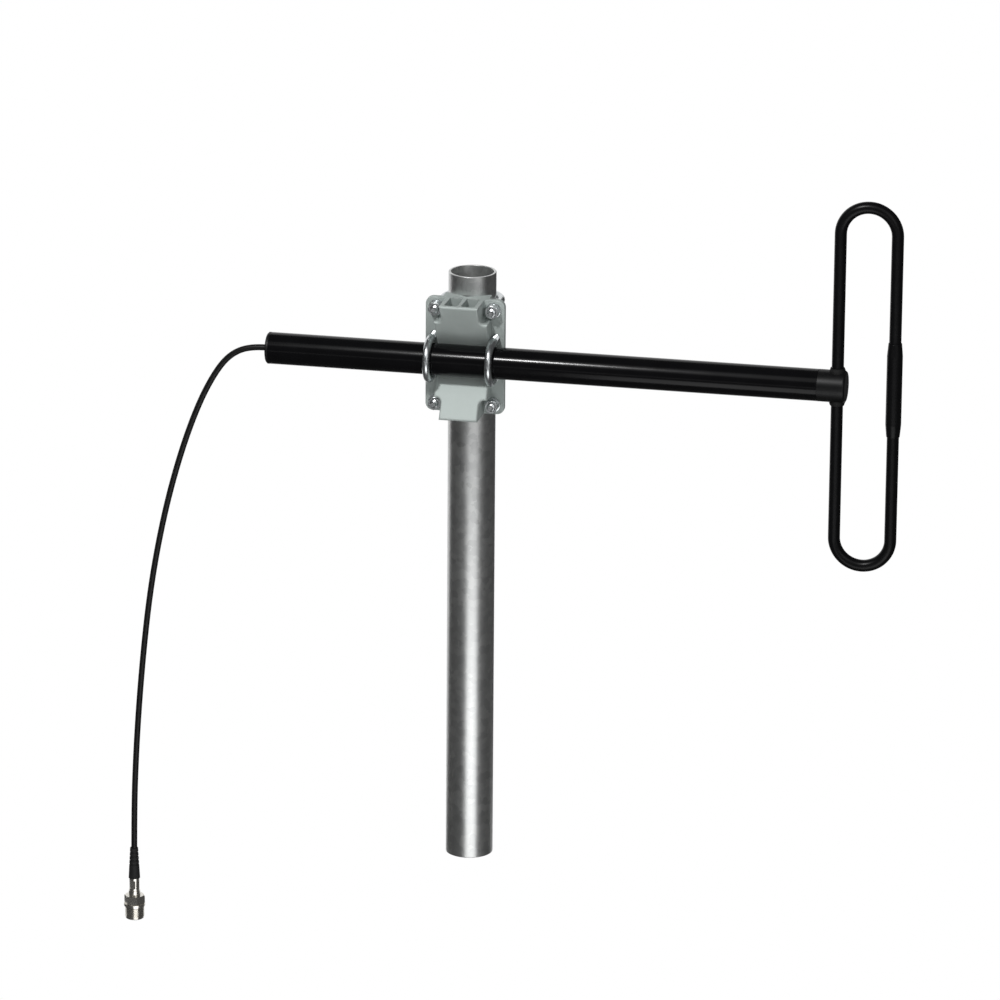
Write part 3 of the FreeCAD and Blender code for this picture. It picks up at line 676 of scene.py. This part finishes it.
def nut_shape(flats, height, bore, chamfer):
    """Hexagon nut: flats cut back by a cone at both ends, and a countersunk bore."""
    steps = 96
    least_drop = 0.00005
    inset = flats / 2
    face_r = inset * 0.985
    corner = flats / math.sqrt(3)
    sink = chamfer * 0.6
    shape = bmesh.new()
    rings = []
    for step in range(steps):
        turn = math.tau * step / steps
        off = (turn % (math.tau / 6)) - math.tau / 12
        reach = inset / math.cos(off)
        drop = least_drop + chamfer * (reach - inset) / (corner - inset)
        across = [(bore + sink, 0), (face_r, 0), (reach, drop), (reach, height - drop),
                  (face_r, height), (bore + sink, height), (bore, height - sink), (bore, sink)]
        rings.append(ring_at(shape, across, turn))
    skin_over(shape, rings + rings[:1])
    bmesh.ops.recalc_face_normals(shape, faces=shape.faces)
    return shape


fasteners_on_legs = fastener_tree()
washer_bore = 0.0033
washer_r = 0.006
washer_thick = 0.0016
spring_bore = 0.0031
spring_r = 0.0054
spring_thick = 0.0015
spring_slit = 0.001
nut_flats = 0.010
nut_height = 0.005
nut_bore = 0.0031
nut_chamfer = 0.0006
# Kind, shape and its sizes, lift off the saddle, and the seed of its turns.
fastener_kinds = [
    ("washers", washer_shape, (washer_bore, washer_r, washer_thick), 0.0, 3),
    ("spring_washers", spring_washer_shape, (spring_bore, spring_r, spring_thick, spring_slit),
     washer_thick, 5),
    ("nuts", nut_shape, (nut_flats, nut_height, nut_bore, nut_chamfer), washer_thick + spring_thick, 8),
]


def leg_seats(node, legs_to):
    """Points where the four legs in a washers' node come out of the saddle."""
    low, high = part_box(node)
    middle = (low + high) / 2
    reach = (high - low) / 2 - Vector((washer_r, 0, washer_r))
    seat = high.y if legs_to.y < 0 else low.y
    return [Vector((middle.x + sx * reach.x, seat, middle.z + sz * reach.z))
            for sx in (-1, 1) for sz in (-1, 1)]


def fastener_pieces(group, legs_to):
    """Washers, spring washers and nuts of four legs, each kind one piece in place of its node."""
    legs = leg_seats(group + "_washers", legs_to)
    for kind, make_shape, sizes, lift, seed in fastener_kinds:
        node = group + "_" + kind
        pattern_mesh = mesh_from(make_shape(*sizes), node + "_pattern")
        pattern = new_object(node + "_pattern", pattern_mesh)
        seats = bpy.data.meshes.new(node + "_seats")
        seats.from_pydata([leg + legs_to * lift for leg in legs], [], [])
        mesh = grown(node + "_set", seats, fasteners_on_legs, {
            "Fastener": pattern, "Leg Direction": tuple(legs_to), "Seed": seed, "Material": zinc_plate})
        bpy.data.objects.remove(pattern)
        piece_of(node + "_set", mesh, zinc_plate, "zinc_plate", node)


fastener_pieces("mast_u_bolt", MAST_LEGS_TO)
fastener_pieces("boom_u_bolt", BOOM_LEGS_TO)

# Boom: aluminium tube, drawn, cut to length and coated black in one smooth coat.
# It lies in the saddle's front V, and its coat shows the die lines faintly under the light.


def black_coat_finish(name, grain, rough, lines):
    """Black coat on drawn metal: fine peel over faint die lines."""
    made, tree, shader, place = new_finish(name, {"IOR": 1.5, "Specular IOR Level": 0.14})
    skin = in_group(tree, satin_skin, {"Vector": place, "Grain Size": grain})
    marks = in_group(tree, tool_marks, {"Vector": place, "Lines per Metre": lines})["Mark"]
    colour = blended(tree, skin["Mottle"], (0.002, 0.002, 0.0023, 1), (0.004, 0.004, 0.0046, 1))
    dull = sum_of(tree, "ADD", between(tree, skin["Mottle"], *rough), between(tree, marks, -0.02, 0.02))
    surfaced(tree, shader, colour, dull)
    relief = sum_of(tree, "ADD", skin["Grain"], sum_of(tree, "MULTIPLY", marks, 0.7))
    bumped(tree, shader, relief, 0.00002, 0.5)
    return made


boom_black = black_coat_finish("boom_black", grain=0.0009, rough=(0.14, 0.20), lines=(4, 2500, 2500))
boom_low, boom_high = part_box("boom_tube")
boom_r = (boom_high.z - boom_low.z) / 2
boom_wall = 0.0016
boom_edge = 0.0004
boom_axis = Vector((0, (boom_low.y + boom_high.y) / 2, (boom_low.z + boom_high.z) / 2))
ALONG_BOOM = Vector((1, 0, 0))
boom_outline = eased([
    (boom_r - boom_wall, boom_low.x), (boom_r, boom_low.x),
    (boom_r, boom_high.x), (boom_r - boom_wall, boom_high.x),
], boom_edge)
boom_mesh = mesh_from(turned_shape(boom_outline, steps=112), "black_boom", laid(ALONG_BOOM, boom_axis))
piece_of("black_boom", boom_mesh, boom_black, "black_anodised", "boom_tube")

# Feed head and limb seals: a black moulding plugged and bonded into the boom's front end.
# It holds the two rod ends apart in blind holes, each with a soft rubber ring round its mouth.


def moulded_finish(name, colour, grain, rough, relief):
    """Moulded plastic or rubber with its tool's fine grain."""
    made, tree, shader, place = new_finish(name, {"IOR": 1.5, "Specular IOR Level": 0.22})
    skin = in_group(tree, satin_skin, {"Vector": place, "Grain Size": grain})
    dark = tuple(c * 0.75 for c in colour) + (1,)
    light = tuple(c * 1.3 for c in colour) + (1,)
    tone = blended(tree, skin["Mottle"], dark, light)
    surfaced(tree, shader, tone, between(tree, skin["Mottle"], *rough))
    bumped(tree, shader, skin["Grain"], relief, 0.5)
    return made


MOULDED_SHARP = math.radians(22)


def dressed_copy(name, node, finish, slot):
    """Smooth copy of a CAD node as a piece of its own."""
    mesh = mesh_from(cad_shape(node), name, sharp=MOULDED_SHARP)
    return piece_of(name, modified(name, mesh, broad_faces), finish, slot, node)


head_black = moulded_finish(
    "feed_head_black", (0.004, 0.004, 0.0044), grain=0.0004, rough=(0.34, 0.46), relief=0.00004)
seal_black = moulded_finish(
    "seal_rubber", (0.006, 0.006, 0.006), grain=0.0003, rough=(0.55, 0.70), relief=0.00004)
dressed_copy("moulded_feed_head", "feed_head", head_black, "black_moulding")
dressed_copy("upper_limb_ring", "upper_limb_seal", seal_black, "black_seal")
dressed_copy("lower_limb_ring", "lower_limb_seal", seal_black, "black_seal")

# Folded loop: two lengths of solid rod bent over a former and black coated, a half each.
# They stand in the feed head with a gap between, and butt inside the sleeve on the outer limb.


def bent_rod_tree():
    """Plain rod bent along the base mesh's runs."""
    tree, given, result = geometry_tree("bent_rod", BENT_ROD_SOCKETS)
    close_tree(tree, round_bar(tree, bent_path(tree, given), given), given["Material"], result)
    return tree


bent_rod = bent_rod_tree()
rod_black = black_coat_finish("loop_rod_black", grain=0.0008, rough=(0.26, 0.36), lines=(900, 900, 6))
rod_d = 0.009525
foot_gap = 0.0035


def half_loop_piece(name, node, side):
    """One half of the loop from its node's box; side is 1 above the boom and -1 below it."""
    low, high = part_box(node)
    foot_z, crown_z = (low.z, high.z) if side > 0 else (high.z, low.z)
    feed_x, outer_x = low.x + rod_d / 2, high.x - rod_d / 2
    y = (low.y + high.y) / 2
    crown_z -= side * rod_d / 2
    points = [(feed_x, y, boom_axis.z + side * foot_gap), (feed_x, y, crown_z),
              (outer_x, y, crown_z), (outer_x, y, foot_z)]
    mesh = grown(name, path_mesh(name + "_runs", points), bent_rod, {
        "Diameter": rod_d, "Bend Radius": (outer_x - feed_x) / 2 * BEND_SHARE, "Bend Steps": 40,
        "Round Steps": 48, "Material": rod_black})
    piece_of(name, mesh, rod_black, "black_coated_rod", node)


half_loop_piece("upper_loop_rod", "upper_half_loop", 1)
half_loop_piece("lower_loop_rod", "lower_half_loop", -1)

# Joint sleeve: a black tube pressed over the butt joint of the two rods, tapered at both ends.
# It makes the outer limb thicker over its middle stretch.
sleeve_low, sleeve_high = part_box("joint_sleeve")
sleeve_axis = (sleeve_low + sleeve_high) / 2
sleeve_half = (sleeve_high.z - sleeve_low.z) / 2
sleeve_r = (sleeve_high.x - sleeve_low.x) / 2
sleeve_fit = 0.00005
sleeve_lip_wall = 0.0005
sleeve_taper = 0.010
sleeve_edge = 0.0004
sleeve_bore = rod_d / 2 + sleeve_fit
sleeve_lip = sleeve_bore + sleeve_lip_wall
sleeve_outline = eased([
    (sleeve_bore, -sleeve_half), (sleeve_lip, -sleeve_half), (sleeve_r, sleeve_taper - sleeve_half),
    (sleeve_r, sleeve_half - sleeve_taper), (sleeve_lip, sleeve_half), (sleeve_bore, sleeve_half),
], sleeve_edge)
sleeve_mesh = mesh_from(turned_shape(sleeve_outline, steps=72), "black_joint_sleeve", laid(UP, sleeve_axis))
piece_of("black_joint_sleeve", sleeve_mesh, rod_black, "black_coated_rod", "joint_sleeve")

# Feed pieces inside the head and boom: brass screws, tinned tags, the feeder and the balun's thin coax.
# They are hidden once the boom is closed, and carry the signal from the cable to the two rods.


def metal_finish(name, dull, bright, rough, lines):
    """Turned or drawn metal with its tool's lines."""
    made, tree, shader, place = new_finish(name, {"Metallic": 1.0})
    marks = in_group(tree, tool_marks, {"Vector": place, "Lines per Metre": lines})["Mark"]
    skin = in_group(tree, satin_skin, {"Vector": place, "Grain Size": 0.0003})
    colour = blended(tree, skin["Mottle"], dull, bright)
    surfaced(tree, shader, colour, between(tree, marks, *rough))
    bumped(tree, shader, marks, 0.00001, 0.4)
    return made


brass = metal_finish("brass", dull=(0.60, 0.42, 0.17, 1), bright=(0.78, 0.58, 0.27, 1),
                     rough=(0.20, 0.34), lines=(4000, 60, 60))
tinned = metal_finish("tinned_brass", dull=(0.55, 0.54, 0.50, 1), bright=(0.74, 0.73, 0.69, 1),
                      rough=(0.26, 0.42), lines=(900, 900, 900))
jacket_black = moulded_finish(
    "cable_jacket", (0.006, 0.006, 0.006), grain=0.0005, rough=(0.36, 0.50), relief=0.00003)
jacket_brown = moulded_finish(
    "balun_jacket", (0.10, 0.045, 0.02), grain=0.0004, rough=(0.32, 0.46), relief=0.00002)
for end in ("upper", "lower"):
    dressed_copy(end + "_brass_screw", end + "_feed_screw", brass, "brass")
    dressed_copy(end + "_tinned_lug", end + "_solder_lug", tinned, "tinned_brass")
dressed_copy("feeder_in_boom", "boom_coax", jacket_black, "black_jacket")
dressed_copy("balun_loop", "balun_hairpin", jacket_brown, "brown_jacket")

# Rear gland: a black moulded plug that closes the boom's rear end round the cable.
# Its spigot is a push fit in the tube, its flange covers the cut edge, and a short nose grips the cable.
gland_black = moulded_finish(
    "gland_black", (0.005, 0.005, 0.0054), grain=0.0004, rough=(0.38, 0.52), relief=0.00004)
dressed_copy("moulded_rear_gland", "rear_cable_gland", gland_black, "black_moulding")

# Cable tail: 5 mm coax with a black jacket, free from the gland's nose to its connector.
# It leaves level, bends over under its own weight and hangs almost straight; the route is along and up
# from the gland's tip.
TAIL_ROUTE = [
    (0.0, 0.0), (-0.012, 0.0), (-0.0275, -0.0065), (-0.040, -0.021), (-0.055, -0.050),
    (-0.0705, -0.0935), (-0.0845, -0.146), (-0.096, -0.207), (-0.1035, -0.272),
    (-0.109, -0.340), (-0.112, -0.408), (-0.112, -0.474),
]
coax_d = 0.00495
gland_tip = Vector((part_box("rear_cable_gland")[0].x, boom_axis.y, boom_axis.z))
tail_points = [gland_tip + Vector((along, 0, up)) for along, up in TAIL_ROUTE]
tail_curve = bpy.data.curves.new("cable_tail", "CURVE")
tail_curve.dimensions = "3D"
tail_curve.bevel_depth = coax_d / 2
tail_curve.bevel_resolution = 6
tail_curve.resolution_u = 16
tail_curve.use_fill_caps = True
tail_spline = tail_curve.splines.new("NURBS")
tail_spline.points.add(len(tail_points) - 1)
for control, point in zip(tail_spline.points, tail_points):
    control.co = (*point, 1)
tail_spline.order_u = 3
tail_spline.use_endpoint_u = True
tail = new_object("cable_tail", tail_curve)
tail_curve.materials.append(jacket_black)
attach(tail, "root")
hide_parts("coax_tail")

# Connector: a nickel-plated in-line socket, crimped on the cable with a rubber boot behind the crimp.
# A pale bead in the turned body carries the gilt contact, and the mating thread is on the outside.


def outer_thread_tree(ridge):
    """Base mesh with a thread's ridge added round its barrel, from a point down along -Z."""
    tree, given, result = geometry_tree("outer_thread", [
        ("Geometry", "Geometry", None), ("Start", "Vector", (0, 0, 0)), ("Diameter", "Float", 0.0158),
        ("Depth", "Float", 0.0005), ("Pitch", "Float", 0.00106), ("Length", "Float", 0.010),
        ("Steps", "Int", 48), ("Material", "Material", None)])
    wound = grouped(tree, ridge, {label: given[label] for label in (
        "Diameter", "Depth", "Pitch", "Length", "Steps")})
    wound = tree_node(tree, "GeometryNodeTransform", {
        "Geometry": wound, "Translation": given["Start"], "Rotation": (math.pi, 0, 0)})
    close_tree(tree, joined(tree, (given["Geometry"], wound)), given["Material"], result)
    return tree


nickel = metal_finish("nickel_plate", dull=(0.60, 0.58, 0.53, 1), bright=(0.78, 0.76, 0.71, 1),
                      rough=(0.16, 0.30), lines=(30, 30, 5000))
gilt = metal_finish("gilt_contact", dull=(0.72, 0.50, 0.18, 1), bright=(0.88, 0.66, 0.30, 1),
                    rough=(0.18, 0.28), lines=(60, 60, 4000))
jack_thread_d = 0.0158
jack_thread_depth = 0.0005
jack_thread_pitch = 0.0254 / 24
jack_thread_length = 0.0108
jack_thread_start = 0.0005
jack_thread_run_out = 0.0008


def threaded_jack(name, node):
    """Connector body from its node, its barrel taken down to the thread's root and the ridge added."""
    shape = cad_shape(node)
    low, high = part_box(node)
    axis = (low + high) / 2
    near = 0.0001
    barrel_top = low.z + jack_thread_length + near / 10
    root = jack_thread_d / 2 - jack_thread_depth
    for vert in shape.verts:
        out = Vector((vert.co.x - axis.x, vert.co.y - axis.y, 0))
        if vert.co.z < barrel_top and abs(out.length - jack_thread_d / 2) < near:
            vert.co += out.normalized() * (root - out.length)
    mesh = grown(name, mesh_from(shape, name + "_blank"), outer_thread_tree(thread_ridge), {
        "Start": (axis.x, axis.y, low.z + jack_thread_length - jack_thread_start),
        "Diameter": jack_thread_d, "Depth": jack_thread_depth, "Pitch": jack_thread_pitch,
        "Length": jack_thread_length - jack_thread_start - jack_thread_run_out,
        "Steps": 48, "Material": nickel})
    mesh = modified(name, smoothed(mesh, MOULDED_SHARP), broad_faces)
    return piece_of(name, mesh, nickel, "nickel_plate", node)


bead_white = moulded_finish(
    "pale_bead", (0.70, 0.69, 0.64), grain=0.0005, rough=(0.35, 0.5), relief=0.00002)
boot_rubber = moulded_finish(
    "boot_rubber", (0.013, 0.013, 0.013), grain=0.0004, rough=(0.5, 0.66), relief=0.00004)
boot = dressed_copy("rubber_boot", "connector_boot", boot_rubber, "black_seal")
ferrule = dressed_copy("crimp_ferrule", "connector_ferrule", nickel, "nickel_plate")
jack = threaded_jack("jack_body", "connector_body")
bead = dressed_copy("contact_bead", "connector_insulator", bead_white, "pale_insulator")
contact = dressed_copy("gilt_socket", "connector_contact", gilt, "gilt_contact")

# Stage: a pale floor well below the part, two soft lamps, and the camera at the photograph's angle.
# A white card and dark screens, seen only in gloss, give the metal its bands and keep the black deep.
floor_z = -0.62


def in_view(tree):
    """Light Path mask of what the camera sees, directly or in gloss or glass."""
    path = add_node(tree, "ShaderNodeLightPath").outputs
    seen = sum_of(tree, "MAXIMUM", path["Is Camera Ray"], path["Is Glossy Ray"])
    return sum_of(tree, "MAXIMUM", seen, path["Is Transmission Ray"])


def floor_finish():
    """Pale paint that shows as the white background."""
    made, tree, shader = new_finish("floor_white", {
        "Base Color": (0.86, 0.86, 0.86, 1), "Roughness": 0.9})[:3]
    white = add_node(tree, "ShaderNodeEmission", {"Color": (1, 1, 1, 1), "Strength": 1.0})
    mix = add_node(tree, "ShaderNodeMixShader", {
        0: in_view(tree), 1: shader.outputs[0], 2: white.outputs[0]})
    tree.links.new(mix.outputs[0], tree.nodes["Material Output"].inputs["Surface"])
    return made


def card_finish(name, strength):
    """Even tone of a studio card or screen."""
    return new_finish(name, {
        "Base Color": (0, 0, 0, 1), "Roughness": 1.0, "Specular IOR Level": 0.0,
        "Emission Color": (1, 1, 1, 1), "Emission Strength": strength})[0]


def stage_sheet(name, points, faces, finish):
    """Stage sheet, not part of the object."""
    mesh = bpy.data.meshes.new(name)
    mesh.from_pydata(points, [], faces)
    sheet = new_object(name, mesh)
    mesh.materials.append(finish)
    return sheet


def card(name, points, faces, finish):
    """Card or screen that only gloss sees."""
    sheet = stage_sheet(name, points, faces, finish)
    for kind in ("camera", "diffuse", "shadow", "transmission", "volume_scatter"):
        setattr(sheet, "visible_" + kind, False)


def level_sheet(x0, x1, y0, y1, z):
    """Corners of a level rectangle."""
    return [(x0, y0, z), (x1, y0, z), (x1, y1, z), (x0, y1, z)]


def swept_card(name, first, last, inner, outer, finish):
    """Card bowed round the mast between two bearings, in degrees from -Y towards +X.

    Inner and outer are its two long edges, each as a radius and a height.
    """
    points = []
    steps = 12
    for step in range(steps + 1):
        bearing = math.radians(first + (last - first) * step / steps)
        for radius, z in (inner, outer):
            points.append((radius * math.sin(bearing), -radius * math.cos(bearing), z))
    card(name, points, [(2 * i, 2 * i + 2, 2 * i + 3, 2 * i + 1) for i in range(steps)], finish)


floor_half = 12.0
screen_r = 1.5
screen_top = 2.2
far_screen_r = 4.6
screen_grey = card_finish("screen_grey", 0.08)
card_white = card_finish("card_white", 2.5)
one_face = [(0, 1, 2, 3)]
stage_sheet("floor", level_sheet(-floor_half, floor_half, -floor_half, floor_half, floor_z),
            one_face, floor_finish())
swept_card("left_screen", -34, -112, (screen_r, floor_z), (screen_r, screen_top), screen_grey)
swept_card("right_screen", 60, 174, (screen_r, floor_z), (screen_r, screen_top), screen_grey)
swept_card("front_screen", -60, 80, (far_screen_r, 0.1), (far_screen_r, 3.4), screen_grey)
card("table", level_sheet(-4.0, 4.0, -7.0, 1.1, floor_z + 0.02), one_face, screen_grey)
card("overhead", level_sheet(-2.5, 2.5, -1.2, 2.0, 2.6), one_face, screen_grey)
swept_card("front_card", -7, 44, (0.8, floor_z + 0.04), (2.5, floor_z + 0.04), card_white)

world = bpy.data.worlds.new("studio")
bpy.context.scene.world = world
world.use_nodes = True
world_tree = world.node_tree
world_back = world_tree.nodes["Background"]
world_back.inputs["Color"].default_value = (1, 1, 1, 1)
world_tree.links.new(between(world_tree, in_view(world_tree), 0.5, 1.0), world_back.inputs["Strength"])


def lamp(name, place, target, size, watts):
    """Square soft lamp aimed at a point."""
    light = bpy.data.lights.new(name, "AREA")
    light.shape = "SQUARE"
    light.size = size
    light.energy = watts
    made = new_object(name, light)
    facing = (Vector(target) - Vector(place)).to_track_quat("-Z", "Y")
    made.matrix_world = Matrix.Translation(place) @ facing.to_matrix().to_4x4()


lamp("key", place=(-0.36, -1.40, 1.87), target=(0.05, 0, 0.38), size=0.16, watts=24)
lamp("fill", place=(1.7, -2.2, 1.35), target=(0.1, 0, 0.35), size=1.4, watts=9)

camera_turn = math.radians(11.878)
camera_rise = math.radians(17.885)
camera_roll = math.radians(0.418)
camera_distance = 5.5
frame_width = 0.80124
aim_across = 0.023055
aim_height = 0.299452
away = Vector((-math.sin(camera_turn) * math.cos(camera_rise),
               math.cos(camera_turn) * math.cos(camera_rise), -math.sin(camera_rise)))
right = Vector((math.cos(camera_turn), math.sin(camera_turn), 0))
aim = right * aim_across + Vector((0, 0, aim_height))
camera_data = bpy.data.cameras.new("camera")
camera_data.sensor_width = 36
camera_data.lens = camera_data.sensor_width * camera_distance / frame_width
camera = new_object("camera", camera_data)
facing = away.to_track_quat("-Z", "Y").to_matrix().to_4x4()
camera.matrix_world = (Matrix.Translation(aim - away * camera_distance) @ facing
                       @ Matrix.Rotation(camera_roll, 4, "Z"))
bpy.context.scene.camera = camera
bpy.context.scene.view_settings.view_transform = "Standard"
